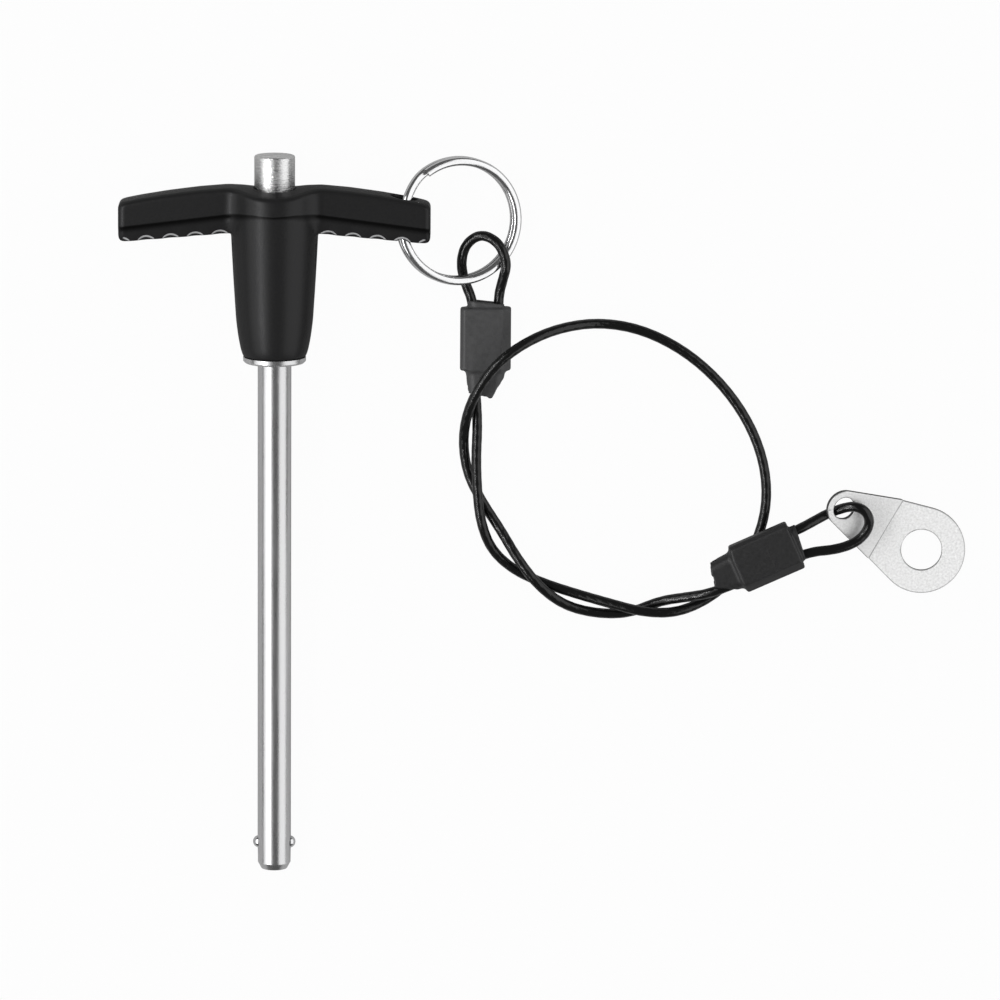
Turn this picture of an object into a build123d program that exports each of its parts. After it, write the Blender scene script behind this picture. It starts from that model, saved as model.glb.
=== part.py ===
"""Ball lock pin with a T-handle, a push button and a coated wire lanyard, lying at rest.

Frame: the origin is on the shank's axis at the shoulder's underside. The handle points
to +Y, the tip to -Y, and +Z is up. The pin leans by the small slope at which its hub and
its tip both touch the floor. Lengths are in millimetres.
"""
import math
import os

from build123d import *

os.makedirs("parts", exist_ok=True)

# ---- driving sizes ----
shankR = 3.175
shankLen = 98.0
noseLen = 6.5
noseTaper = 0.06
tipChamfer = 0.65
tipChamferLen = 1.2
shoulderR = 5.92
shoulderT = 1.1
stubR = 3.0
stubLen = 12.0
boreR = 1.72
tipWall = 0.9

ballR = 1.19
ballFromTip = 5.1
ballOut = 2.86
ballTravel = 0.95
pressTravel = 2.6
ballGap = 0.02
ballHoleGap = 0.03
lipGap = 0.015
lipT = 0.175

landR = 1.65
waistR = 0.68
rodR = 1.3
waistLen = 4.6

handleUp = shoulderT
hubFootR = 5.85
hubR = 8.15
hubWideAt = 22.5
hubBeltR = 8.28
hubBeltAt = 27.2
hubTopR = 7.9
castTop = 36.0
crownR = 30.0
saddleX = 3.8
saddleAt = 32.1
peakX = 8.7
peakAt = 33.1
armEnd = 29.25
armEndTop = 30.55
armRootLow = 23.8
armEndLow = 21.95
armRootBelt = 27.4
armEndBelt = 24.7
armLowHalf = 3.1
armBeltHalf = 4.1
armTopHalf = 3.7
armRound = 1.3
scallopPitch = 4.6
scallopFirst = 10.0
scallopCount = 5
scallopR = 2.6
scallopDeep = 0.62
ringHoleX = 24.2
ringHoleUp = 27.0
ringHoleR = 2.5

buttonR = 3.82
buttonTop = 38.4
buttonLen = 18.4
buttonGap = 0.08
buttonChamfer = 0.45
rodGripLen = 9.0

springR = 2.55
springWire = 0.4
springTurns = 5
springEnd = 0.12

ringMeanR = 11.3
ringWireW = 1.65
ringWireT = 1.5
ringTurnGap = 0.06
ringWireRound = 0.34
ringInHole = 0.45
ringCentreY = 26.8
ringLift = 0.4
ringCut = 125.0
ringStepTurn = 36.0

cableR = 0.95
barrelHalf = 2.35
crimp = 0.05
ferruleLen = 10.5
ferruleWall = 0.75
shrinkT = 0.55
shrinkGap = 0.25
sleeveGap = 0.12
wayEnd = 20.0
blockW = 9.6
blockT = 5.0
blockLen = 11.9
blockBevel = 1.5
collarW = 7.0
collarLen = 1.5
tailW = 5.8
tailEndW = 5.2
tailLen = 5.6
passH = 3.1

ringSleeveX = 39.7
ringSleeveY = 4.15
tabSleeveX = 93.2
tabSleeveY = -36.8
tabSleeveUp = 5.35
tabSleeveTurn = 24.2

tabT = 0.9
tabBigX = 122.8
tabBigY = -36.0
tabBigR = 8.3
tabHoleR = 3.87
tabSmallR = 3.5
tabSmallHoleR = 2.15
tabPitch = 17.9
tabBendAt = 7.75
tabBend = 25.0
tabBendR = 0.6
tabTurn = 150.3

# ---- how it lies ----
hubWideY = handleUp + hubWideAt
restRun = hubWideY + shankLen - tipChamferLen
slope = math.degrees(math.atan((hubR - shankR) / restRun))
slopeSin = math.sin(math.radians(slope))
slopeCos = math.cos(math.radians(slope))
floorZ = hubWideY * slopeSin - hubR * slopeCos


def lay(shape):
    """Leans a piece of the pin by the resting slope."""
    return shape.rotate(Axis.X, slope)


def along(radius, y0, y1):
    """A round bar on the pin's axis from y0 to y1."""
    bar = Cylinder(radius, y1 - y0, align=(Align.CENTER, Align.CENTER, Align.MIN))
    return Pos(0, y0, 0) * Rot(-90, 0, 0) * bar


def turned(points):
    """A solid of revolution about the pin's axis, from (radius, y) corners."""
    face = make_face(Polyline(*[(r, y, 0) for r, y in points], close=True))
    return revolve(face, Axis.Y)


def save(shape, name):
    """Writes one node."""
    shape.label = name
    export_step(shape, f"parts/{name}.step")
    print(name, "volume", round(shape.volume, 2))


# ---- shank with its shoulder and stub ----
tipY = -shankLen
noseR = shankR - noseTaper
shank = turned([
    (0, tipY),
    (noseR - tipChamfer, tipY),
    (noseR, tipY + tipChamferLen),
    (shankR, tipY + noseLen),
    (shankR, 0),
    (shoulderR - 0.35, 0),
    (shoulderR, 0.35),
    (shoulderR, shoulderT),
    (stubR, shoulderT),
    (stubR, shoulderT + stubLen - 0.4),
    (stubR - 0.4, shoulderT + stubLen),
    (0, shoulderT + stubLen),
])
boreEnd = tipY + tipWall
shank -= along(boreR, boreEnd, shoulderT + stubLen + 1)
ballY = tipY + ballFromTip
holeR = ballR + ballHoleGap
lipR = ballR - lipGap
lipStart = shankR - lipT
for side in (-1, 1):
    straight = Cylinder(holeR, lipStart, align=(Align.CENTER, Align.CENTER, Align.MIN))
    lip = Cone(holeR, lipR, lipT, align=(Align.CENTER, Align.CENTER, Align.MIN))
    mouth = Cylinder(lipR, 1.0, align=(Align.CENTER, Align.CENTER, Align.MIN))
    cutter = straight + Pos(0, 0, lipStart) * lip + Pos(0, 0, shankR) * mouth
    shank -= Pos(0, ballY, 0) * Rot(0, 90 * side, 0) * cutter
save(lay(shank), "shank")

# ---- balls ----
for side, name in ((-1, "ball_left"), (1, "ball_right")):
    save(lay(Pos(side * ballOut, ballY, 0) * Sphere(ballR)), name)

# ---- spindle: the land holds the balls out, the waist lets them in ----
ramp = math.atan(ballTravel / pressTravel)
coneAtBall = ballOut - (ballR + ballGap) / math.cos(ramp)
rampStart = ballY - (landR - coneAtBall) / math.tan(ramp)
rampEnd = rampStart + (landR - waistR) / math.tan(ramp)
landEnd = boreEnd + pressTravel + 0.12
rodTop = handleUp + buttonTop - buttonLen + rodGripLen
waistEnd = ballY + waistLen
spindle = turned([
    (0, landEnd),
    (landR - 0.2, landEnd),
    (landR, landEnd + 0.2),
    (landR, rampStart),
    (waistR, rampEnd),
    (waistR, waistEnd),
    (rodR, waistEnd + 0.8),
    (rodR, rodTop),
    (0, rodTop),
])
save(lay(spindle), "spindle")

# ---- push button ----
buttonLow = handleUp + buttonTop - buttonLen
buttonHigh = handleUp + buttonTop
button = turned([
    (0, buttonLow),
    (buttonR - 0.3, buttonLow),
    (buttonR, buttonLow + 0.3),
    (buttonR, buttonHigh - buttonChamfer),
    (buttonR - buttonChamfer, buttonHigh),
    (0, buttonHigh),
])
button -= along(rodR, buttonLow - 1, rodTop)
save(lay(button), "button")

# ---- spring between the stub and the button ----
springLow = shoulderT + stubLen + springWire + springEnd
springHigh = buttonLow - springWire - springEnd
springRise = springHigh - springLow
coil = Helix(springRise / springTurns, springRise, springR)
coilCut = Plane(origin=coil @ 0, z_dir=coil % 0) * Circle(springWire)
spring = sweep(coilCut, path=coil, is_frenet=True)
save(lay(Pos(0, springLow, 0) * Rot(-90, 0, 0) * spring), "spring")


# ---- handle: one casting, a hub with two arms ----
def armSection(x, low, belt, top):
    """The arm's cross-section at x: widest at the belt, narrower below and above."""
    plane = Plane(origin=(x, handleUp, 0), x_dir=(0, 0, 1), z_dir=(1, 0, 0))
    corners = [
        (-armLowHalf, low),
        (armLowHalf, low),
        (armBeltHalf, belt),
        (armTopHalf, top),
        (-armTopHalf, top),
        (-armBeltHalf, belt),
    ]
    flip = -1 if plane.y_dir.Y < 0 else 1
    return plane * make_face(Polyline(*[(u, v * flip) for u, v in corners], close=True))


def crownSection(x, top):
    """The space under the crowned top at x."""
    low = -2.0
    half = 11.0
    drop = crownR - math.sqrt(crownR**2 - half**2)
    y0 = handleUp + low
    y1 = handleUp + top - drop
    y2 = handleUp + top
    edges = [
        Line((x, y0, -half), (x, y0, half)),
        Line((x, y0, half), (x, y1, half)),
        ThreePointArc((x, y1, half), (x, y2, 0), (x, y1, -half)),
        Line((x, y1, -half), (x, y0, -half)),
    ]
    return make_face(edges)


hubProfile = Spline(
    (hubFootR, handleUp, 0),
    (6.45, handleUp + 1.6, 0),
    (7.24, handleUp + 7.0, 0),
    (7.78, handleUp + 14.8, 0),
    (hubR, handleUp + hubWideAt, 0),
)
hubEdges = [
    hubProfile,
    Line((hubR, handleUp + hubWideAt, 0), (hubBeltR, handleUp + hubBeltAt, 0)),
    Line((hubBeltR, handleUp + hubBeltAt, 0), (hubTopR, handleUp + castTop, 0)),
    Line((hubTopR, handleUp + castTop, 0), (0, handleUp + castTop, 0)),
    Line((0, handleUp + castTop, 0), (0, handleUp, 0)),
    Line((0, handleUp, 0), (hubFootR, handleUp, 0)),
]
handle = revolve(make_face(hubEdges), Axis.Y)

lowDrop = (armRootLow - armEndLow) / (armEnd - 8.0)
beltDrop = (armRootBelt - armEndBelt) / (armEnd - 8.0)
for side in (-1, 1):
    root = armSection(0, armRootLow + 8 * lowDrop, armRootBelt + 8 * beltDrop, castTop)
    end = armSection(side * armEnd, armEndLow, armEndBelt, castTop)
    handle += loft([root, end], ruled=True)

stations = [(-armEnd - 1, armEndTop - 0.1), (-peakX, peakAt), (-saddleX, saddleAt)]
stations += [(-x, top) for x, top in reversed(stations)]
bowAt = (peakX + armEnd) / 2
bowTop = (peakAt + armEndTop) / 2 + 0.25
stations.insert(1, (-bowAt, bowTop))
stations.insert(len(stations) - 1, (bowAt, bowTop))
crown = loft([crownSection(x, top) for x, top in stations], ruled=True)
handle &= crown

endEdges = [e for e in handle.edges() if abs(e.center().X) > armEnd - 0.3]
handle = fillet(endEdges, armRound)
for side in (-1, 1):
    for step in range(scallopCount):
        x = scallopFirst + scallopPitch * step
        low = handleUp + armRootLow - (x - 8.0) * lowDrop
        for face in (-1, 1):
            back = scallopR - scallopDeep
            groove = Rot(45 * face, 0, 0) * Rot(-90, 0, 0) * Cylinder(scallopR, 9.0)
            off = back / math.sqrt(2)
            place = Pos(side * x, low - off, face * (armLowHalf + off))
            handle -= place * groove

holeTop = handleUp + castTop
handle -= Pos(ringHoleX, 0, 0) * along(ringHoleR, handleUp + 15, holeTop)
handle -= along(buttonR + buttonGap, shoulderT + stubLen, holeTop)
handle -= along(stubR, handleUp - 1, shoulderT + stubLen + 0.5)
save(lay(handle), "handle")
print("handle valid", handle.is_valid, "solids", len(handle.solids()))

# ---- split ring: two flat turns of wire through the right arm, and a step between them ----
ringStep = ringWireT + ringTurnGap
ringThick = ringWireT + ringStep
ringEdgeR = ringMeanR + ringWireW / 2
holeMidZ = (handleUp + ringHoleUp) * slopeSin
wireUp = holeMidZ + ringLift - floorZ
droop = 10.0
for _ in range(60):
    rad = math.radians(droop)
    ringUp = ringEdgeR * math.sin(rad) + ringThick / 2 * math.cos(rad)
    droop += (wireUp - ringUp - ringMeanR * math.sin(rad)) * 1.2
ringCentreX = ringHoleX - ringInHole + ringMeanR * math.cos(rad)
print("ring droop", round(droop, 2), "centre x", round(ringCentreX, 3), "up", round(ringUp, 3))


def wireCut(turn, up):
    """The wire's cross-section at an angle in degrees and a height, as a radial face."""
    plane = Plane(origin=(ringMeanR, 0, up), x_dir=(1, 0, 0), z_dir=(0, 1, 0))
    face = plane * RectangleRounded(ringWireW, ringWireT, ringWireRound)
    return Rot(0, 0, turn) * face


ringFlat = 360 - ringStepTurn
stepCuts = []
for i in range(7):
    share = i / 6
    climb = share * share * (3 - 2 * share)
    stepCuts.append(wireCut(ringFlat + share * ringStepTurn, (climb - 0.5) * ringStep))
ring = loft(stepCuts)
for side in (-1, 1):
    ring += revolve(wireCut(0, side * ringStep / 2), Axis.Z, ringFlat)
print("ring valid", ring.is_valid, "solids", len(ring.solids()))
ring = Rot(0, 0, ringCut + ringStepTurn) * ring
ring = Pos(ringCentreX, ringCentreY, floorZ + ringUp) * Rot(0, droop, 0) * ring
save(ring, "split_ring")

# ---- crimped ends: each is a ferrule under a shrunk sleeve ----
ringSleeveUp = blockT / 2 + 0.05
ringEndAt = Location((ringSleeveX, ringSleeveY, floorZ + ringSleeveUp), (0, 0, 90))
tabEndAt = Location(
    (tabSleeveX, tabSleeveY, floorZ + tabSleeveUp), (0, 0, tabSleeveTurn)
)
ferruleW = 2 * (barrelHalf + cableR + ferruleWall)
ferruleT = 2 * (cableR + ferruleWall)


def barAlongX(width, height, x0, x1, corner):
    """A bar with rounded long edges, running along local +X."""
    section = Plane.YZ * RectangleRounded(width, height, corner)
    return Pos(x0, 0, 0) * extrude(section, x1 - x0)


def ferruleShape():
    """An oval ferrule with two barrels, pressed on the cable."""
    body = barAlongX(ferruleW, ferruleT, -ferruleLen / 2, ferruleLen / 2, ferruleT / 2 - 0.02)
    for side in (-1, 1):
        barrel = Cylinder(cableR - crimp, ferruleLen + 2, rotation=(0, 90, 0))
        body -= Pos(0, side * barrelHalf, 0) * barrel
    return body


def sleeveShape():
    """The shrunk sleeve: a bevelled block, a collar at the loop, a tail at the cable."""
    half = blockLen / 2
    block = Pos(-half, 0, 0) * extrude(
        Plane.YZ * RectangleRounded(blockW, blockT, blockBevel), blockLen
    )
    collar = barAlongX(collarW, passH + 0.7, half - 0.01, half + collarLen, 1.6)
    tailRoot = Plane(origin=(-half + 0.01, 0, 0), x_dir=(0, 1, 0), z_dir=(-1, 0, 0))
    tailEnd = Plane(origin=(-half - tailLen, 0, 0), x_dir=(0, 1, 0), z_dir=(-1, 0, 0))
    tail = loft([
        tailRoot * RectangleRounded(tailW + 1.6, passH + 0.9, 1.7),
        tailEnd * RectangleRounded(tailEndW + 1.6, passH + 0.6, 1.6),
    ], ruled=True)
    body = block + collar + tail
    hollow = barAlongX(ferruleW, ferruleT, -ferruleLen / 2, ferruleLen / 2, ferruleT / 2 - 0.02)
    wayHalf = cableR + sleeveGap
    way = barAlongX(2 * (barrelHalf + wayHalf), 2 * wayHalf, -wayEnd, wayEnd, cableR)
    return body - hollow - way


for name, at in (("ring_end", ringEndAt), ("tab_end", tabEndAt)):
    save(at * ferruleShape(), "ferrule_" + name)
    save(at * sleeveShape(), "sleeve_" + name)


# ---- tab: a teardrop of sheet, its small end bent up ----
def tabOutline():
    """The flat teardrop: two circles joined by tangents, big hole at the origin."""
    tilt = math.asin((tabBigR - tabSmallR) / tabPitch)
    ux, uy = math.sin(tilt), math.cos(tilt)
    big = [(tabBigR * ux, s * tabBigR * uy) for s in (1, -1)]
    small = [(tabPitch + tabSmallR * ux, s * tabSmallR * uy) for s in (1, -1)]
    return make_face([
        ThreePointArc(big[1], (-tabBigR, 0), big[0]),
        Line(big[0], small[0]),
        ThreePointArc(small[0], (tabPitch + tabSmallR, 0), small[1]),
        Line(small[1], big[1]),
    ])


outline = tabOutline()
far = 60.0
slab = extrude(outline, tabT)
flatPart = slab & Pos(tabBendAt - far / 2, 0, 0) * Box(far, far, 10)
raised = slab & Pos(tabBendAt + far / 2, 0, 0) * Box(far, far, 10)
flatPart -= Cylinder(tabHoleR, 10)
raised -= Pos(tabPitch, 0, 0) * Cylinder(tabSmallHoleR, 10)
foldFace = flatPart.faces().filter_by(Plane.YZ).sort_by(Axis.X)[-1]
foldLine = Axis((tabBendAt, 0, tabT + tabBendR), (0, -1, 0))
fold = revolve(foldFace, foldLine, tabBend)
raised = raised.rotate(foldLine, tabBend)
tab = flatPart + fold + raised
tabAt = Location((tabBigX, tabBigY, floorZ + 0.02), (0, 0, tabTurn))
save(tabAt * tab, "tab")

# ---- cable: one rope, eye at the ring, two turns on the floor, eye at the tab ----
# Each row is x, y and the height above the floor of the rope's middle.
low = cableR + 0.05


def atSleeve(at, u, v, up=0.0):
    """A point of a sleeve's own frame, as a row of the route."""
    p = (at * Location((u, v, 0))).position
    return (p.X, p.Y, p.Z - floorZ + up)


h = barrelHalf
route = [
    atSleeve(ringEndAt, -6.3, -h),
    atSleeve(ringEndAt, 0.6, -h - 0.02),
    atSleeve(ringEndAt, 8.0, -h),
    (42.9, 15.6, 4.0),
    (43.7, 18.8, 5.4),
    (42.2, 22.6, 4.9),
    (38.8, 24.3, 4.1),
    (35.8, 22.2, 3.2),
    (34.9, 18.4, 2.2),
    (35.7, 14.7, 1.7),
    atSleeve(ringEndAt, 6.9, h),
    atSleeve(ringEndAt, 1.0, h - 0.02),
    atSleeve(ringEndAt, -5.0, h - 0.1),
    (38.0, -7.2, 2.55),
    (38.3, -12.6, 3.1),
    (38.05, -18.6, 3.45),
    (38.3, -24.8, 3.55),
    (39.0, -31.0, 3.1),
    (41.1, -36.6, 1.3),
    (45.5, -40.5, low),
    (51.0, -42.9, low),
    (57.0, -44.8, low + 0.1),
    (63.5, -46.4, 2.5),
    (69.8, -47.9, 3.6),
    (76.0, -48.2, 2.8),
    (81.7, -46.2, low),
    (86.7, -42.2, low),
    (90.2, -37.2, low),
    (92.6, -31.4, low),
    (93.4, -25.0, low),
    (92.3, -17.9, low),
    (89.1, -10.6, low),
    (83.9, -3.7, low),
    (77.2, 2.0, low),
    (69.3, 5.9, low),
    (61.3, 7.3, 1.8),
    (53.9, 6.6, 4.6),
    (47.6, 4.3, 7.2),
    (42.3, 0.6, 8.3),
    (38.5, -4.4, 7.3),
    (36.2, -10.0, 4.8),
    (35.5, -16.0, 2.0),
    (36.5, -22.2, low),
    (39.4, -27.6, low),
    (42.8, -32.6, 1.5),
    (46.0, -37.8, 3.4),
    (50.0, -43.0, 3.5),
    (55.0, -47.0, 2.1),
    (61.2, -48.7, low),
    (67.4, -48.6, low),
    (73.2, -46.1, 1.2),
    (78.2, -45.0, 3.3),
    atSleeve(tabEndAt, -12.7, -h + 0.2, -0.05),
    atSleeve(tabEndAt, -6.6, -h),
    atSleeve(tabEndAt, 0.6, -h - 0.02),
    atSleeve(tabEndAt, 7.6, -h),
    (106.4, -35.4, 5.0),
    (110.2, -34.1, 4.5),
    (112.3, -31.9, 4.4),
    (112.7, -29.4, 5.3),
    (111.5, -27.5, 6.0),
    (109.2, -26.8, 5.65),
    (105.2, -28.5, 3.45),
    (102.4, -29.9, 4.4),
    atSleeve(tabEndAt, 7.7, h),
    atSleeve(tabEndAt, 1.8, h + 0.02),
    atSleeve(tabEndAt, -4.9, h),
]
points = [Vector(x, y, floorZ + up) for x, y, up in route]
runs = [(b - a).length for a, b in zip(points, points[1:])]
pieces = []
last = points[0]
length = 0.0
tightest = []
for i in range(1, len(points) - 1):
    before = (points[i] - points[i - 1]).normalized()
    after = (points[i + 1] - points[i]).normalized()
    turnBy = before.get_angle(after)
    give = 0.45 * min(runs[i - 1], runs[i])
    start = points[i] - before * give
    stop = points[i] + after * give
    radius = give / math.tan(math.radians(turnBy) / 2)
    tightest.append(round(radius, 1))
    toMiddle = (after - before).normalized()
    depth = give * math.sin(math.radians(turnBy) / 2)
    sag = radius * (1 - math.cos(math.radians(turnBy) / 2))
    middle = (start + stop) * 0.5 - toMiddle * sag
    pieces.append(Line(last, start))
    pieces.append(ThreePointArc(start, middle, stop))
    length += (start - last).length + radius * math.radians(turnBy)
    last = stop
pieces.append(Line(last, points[-1]))
length += (points[-1] - last).length
path = Wire(pieces)
firstWay = (points[1] - points[0]).normalized()
cable = sweep(Plane(origin=points[0], z_dir=firstWay) * Circle(cableR), path=path)
save(cable, "cable")
wanted = math.pi * cableR**2 * length
print("cable length", round(length, 1), "volume ratio", round(cable.volume / wanted, 4))
print("cable radii", tightest)
print("cable runs", [round(r, 1) for r in runs])

# ---- values that the record repeats ----
print("slope", round(slope, 4), "axis", (0, round(slopeCos, 6), round(slopeSin, 6)))
print("floor z", round(floorZ, 4))
holeY = handleUp + ringHoleUp
print("ring hole", (ringHoleX, round(holeY * slopeCos, 3), round(holeY * slopeSin, 3)))
print("ball y", round(ballY * slopeCos, 3), "z", round(ballY * slopeSin, 3))
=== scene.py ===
import math

import bpy
import numpy as np
from mathutils import Matrix, Vector


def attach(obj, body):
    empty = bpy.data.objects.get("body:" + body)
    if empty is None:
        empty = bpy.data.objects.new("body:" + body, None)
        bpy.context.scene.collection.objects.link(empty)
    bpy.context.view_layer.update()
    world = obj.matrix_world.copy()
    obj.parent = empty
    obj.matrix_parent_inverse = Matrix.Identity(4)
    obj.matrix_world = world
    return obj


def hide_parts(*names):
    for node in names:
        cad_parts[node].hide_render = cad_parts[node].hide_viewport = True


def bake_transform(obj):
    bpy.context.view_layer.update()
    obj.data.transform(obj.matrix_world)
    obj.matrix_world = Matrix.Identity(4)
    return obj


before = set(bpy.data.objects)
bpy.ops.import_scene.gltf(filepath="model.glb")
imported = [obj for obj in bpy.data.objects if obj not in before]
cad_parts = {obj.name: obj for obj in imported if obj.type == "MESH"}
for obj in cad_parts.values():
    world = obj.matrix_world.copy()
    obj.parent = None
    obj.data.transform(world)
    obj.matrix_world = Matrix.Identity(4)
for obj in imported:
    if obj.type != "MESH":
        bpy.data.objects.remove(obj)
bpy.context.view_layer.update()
scene = bpy.context.scene
scene.view_settings.view_transform = "Standard"
print("frame loaded")

# The pin rests on its hub and its tip, so it leans a little. Millimetres, as in the solids.
pin = {
    "hubR": 8.15,
    "hubWideY": 23.6,
    "shankR": 3.175,
    "tipY": -96.8,
    "handleY": 1.1,
}
slope = math.atan((pin["hubR"] - pin["shankR"]) / (pin["hubWideY"] - pin["tipY"]))
floorZ = pin["hubWideY"] * math.sin(slope) - pin["hubR"] * math.cos(slope)
leanBy = Matrix.Rotation(slope, 4, "X")
inMetres = Matrix.Scale(0.001, 4)


# A smooth piece that moves with a body, from points in millimetres and the place they go to.
def makePiece(name, points, faces, material, body, place):
    mesh = bpy.data.meshes.new(name)
    mesh.from_pydata([tuple(inMetres @ place @ Vector(p)) for p in points], [], faces)
    mesh.polygons.foreach_set("use_smooth", [True] * len(mesh.polygons))
    mesh.update()
    piece = bpy.data.objects.new(name, mesh)
    scene.collection.objects.link(piece)
    mesh.materials.append(material)
    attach(piece, body)
    return piece


# Each piece has one dictionary of values, and the function that makes the piece takes it as v.
# The camera looks down from a long way off, a little from the handle's side.
cameraValues = {
    "target": (41.25, -26.0, 0.0),
    "lean": 8.8,
    "roll": 0.4,
    "distance": 1300.0,
    "width": 188.9,
    "sensor": 36.0,
}


def makeCamera(v):
    data = bpy.data.cameras.new("camera")
    data.sensor_width = v["sensor"]
    data.lens = v["sensor"] * v["distance"] / v["width"]
    data.clip_start = 0.05
    data.clip_end = 20.0
    camera = bpy.data.objects.new("camera", data)
    scene.collection.objects.link(camera)
    lean = math.radians(v["lean"])
    away = Vector((0, math.sin(lean), math.cos(lean)))
    camera.location = inMetres @ (Vector(v["target"]) + away * v["distance"])
    camera.rotation_euler = (-lean, 0, math.radians(v["roll"]))
    scene.camera = camera


makeCamera(cameraValues)
print("camera")


def newMaterial(name):
    material = bpy.data.materials.new(name)
    material.use_nodes = True
    nodes = material.node_tree.nodes
    return material, nodes, material.node_tree.links, nodes["Principled BSDF"]


# Sets a node's own settings by name, and what isn't one of them as an input.
def addNode(nodes, kind, **values):
    node = nodes.new(kind)
    for key, value in values.items():
        if hasattr(node, key):
            setattr(node, key, value)
        else:
            node.inputs[key.replace("_", " ")].default_value = value
    return node


# A sum whose inputs are either sockets or plain numbers.
def mathNode(nodes, links, operation, first, second=None):
    node = addNode(nodes, "ShaderNodeMath", operation=operation)
    for socket, value in zip(node.inputs, (first, second)):
        if hasattr(value, "is_linked"):
            links.new(value, socket)
        elif value is not None:
            socket.default_value = value
    return node.outputs[0]


# The grain that every finish shares: its noise, where on it the gloss and the colour turn, its depth.
grainValues = {
    "detail": 6.0,
    "break": 0.6,
    "glossFrom": 0.3,
    "glossTo": 0.7,
    "colorFrom": 0.35,
    "colorTo": 0.65,
    "depth": 0.0001,
}


# A finish with fine grain: it varies the gloss, the colour by its spread, and the surface's height.
def grainMaterial(
    name, color, rough, roughRange, metallic, bump, scale, stretch=(1, 1, 1), spread=0.03, **extra
):
    v = grainValues
    material, nodes, links, shader = newMaterial(name)
    shader.inputs["Metallic"].default_value = metallic
    for key, value in extra.items():
        shader.inputs[key.replace("_", " ")].default_value = value
    where = addNode(nodes, "ShaderNodeTexCoord")
    mapping = addNode(nodes, "ShaderNodeMapping", Scale=stretch)
    noise = addNode(
        nodes, "ShaderNodeTexNoise", Scale=scale, Detail=v["detail"], Roughness=v["break"]
    )
    links.new(where.outputs["Object"], mapping.inputs["Vector"])
    links.new(mapping.outputs["Vector"], noise.inputs["Vector"])
    roughness = addNode(nodes, "ShaderNodeMapRange")
    roughness.inputs["From Min"].default_value = v["glossFrom"]
    roughness.inputs["From Max"].default_value = v["glossTo"]
    roughness.inputs["To Min"].default_value = rough - roughRange
    roughness.inputs["To Max"].default_value = rough + roughRange
    links.new(noise.outputs["Fac"], roughness.inputs["Value"])
    links.new(roughness.outputs["Result"], shader.inputs["Roughness"])
    mottle = addNode(nodes, "ShaderNodeMapRange")
    mottle.inputs["From Min"].default_value = v["colorFrom"]
    mottle.inputs["From Max"].default_value = v["colorTo"]
    links.new(noise.outputs["Fac"], mottle.inputs["Value"])
    shade = addNode(nodes, "ShaderNodeMix", data_type="RGBA")
    shade.inputs[6].default_value = (*[c * (1 - spread) for c in color], 1)
    shade.inputs[7].default_value = (*[min(1, c * (1 + spread)) for c in color], 1)
    links.new(mottle.outputs["Result"], shade.inputs[0])
    links.new(shade.outputs[2], shader.inputs["Base Color"])
    rise = addNode(nodes, "ShaderNodeBump", Strength=bump, Distance=v["depth"])
    links.new(noise.outputs["Fac"], rise.inputs["Height"])
    links.new(rise.outputs["Normal"], shader.inputs["Normal"])
    return material


steel = grainMaterial(
    "steelGround", color=(0.64, 0.64, 0.645), rough=0.28, roughRange=0.05,
    metallic=1.0, bump=0.12, scale=900, stretch=(1, 0.05, 1),
)
buttonSteel = grainMaterial(
    "steelTurned", color=(0.74, 0.74, 0.74), rough=0.24, roughRange=0.08,
    metallic=1.0, bump=0.9, scale=1500, stretch=(0.5, 4, 0.5),
)
ballSteel = grainMaterial(
    "steelPolished", color=(0.7, 0.7, 0.71), rough=0.12, roughRange=0.03,
    metallic=1.0, bump=0.02, scale=900,
)
ringSteel = grainMaterial(
    "steelRing", color=(0.78, 0.78, 0.785), rough=0.13, roughRange=0.05,
    metallic=1.0, bump=0.06, scale=1200,
)
tabSteel = grainMaterial(
    "steelTab", color=(0.93, 0.93, 0.925), rough=0.42, roughRange=0.12,
    metallic=0.35, bump=0.7, scale=2400, spread=0.13,
)
aluminium = grainMaterial(
    "aluminium", color=(0.7, 0.7, 0.71), rough=0.35, roughRange=0.05,
    metallic=1.0, bump=0.1, scale=900,
)
blackCoat = grainMaterial(
    "blackCoat", color=(0.026, 0.026, 0.0265), rough=0.33, roughRange=0.04,
    metallic=0.55, bump=0.2, scale=2600,
    Specular_IOR_Level=0.6, Specular_Tint=(0.2, 0.2, 0.2, 1),
)
paleShrink = grainMaterial(
    "blackShrinkPale", color=(0.041, 0.041, 0.042), rough=0.5, roughRange=0.06,
    metallic=0.0, bump=0.25, scale=1100, spread=0.1,
)
blackShrink = grainMaterial(
    "blackShrink", color=(0.012, 0.012, 0.0125), rough=0.46, roughRange=0.06,
    metallic=0.0, bump=0.25, scale=1500, spread=0.1,
)
blackCable = grainMaterial(
    "blackCable", color=(0.005, 0.005, 0.005), rough=0.12, roughRange=0.08,
    metallic=0.0, bump=0.6, scale=800, Specular_IOR_Level=0.4,
)

# How level the tab's surface lies, from 0 on its cut edge to 1 on its flat end, and the painted shade
# there: darkest on the cut edges, darker on the raised end and along the bend line.
tabPaintedShade = (
    (0.74, 0.06),  # cut edge
    (0.87, 0.8),  # raised end
    (0.912, 0.8),
    (0.935, 0.45),  # bend line
    (0.975, 0.45),
    (0.995, 1.0),  # flat end
)


# Multiplies the tab's colour by a painted shade that follows how level each face lies.
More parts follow.
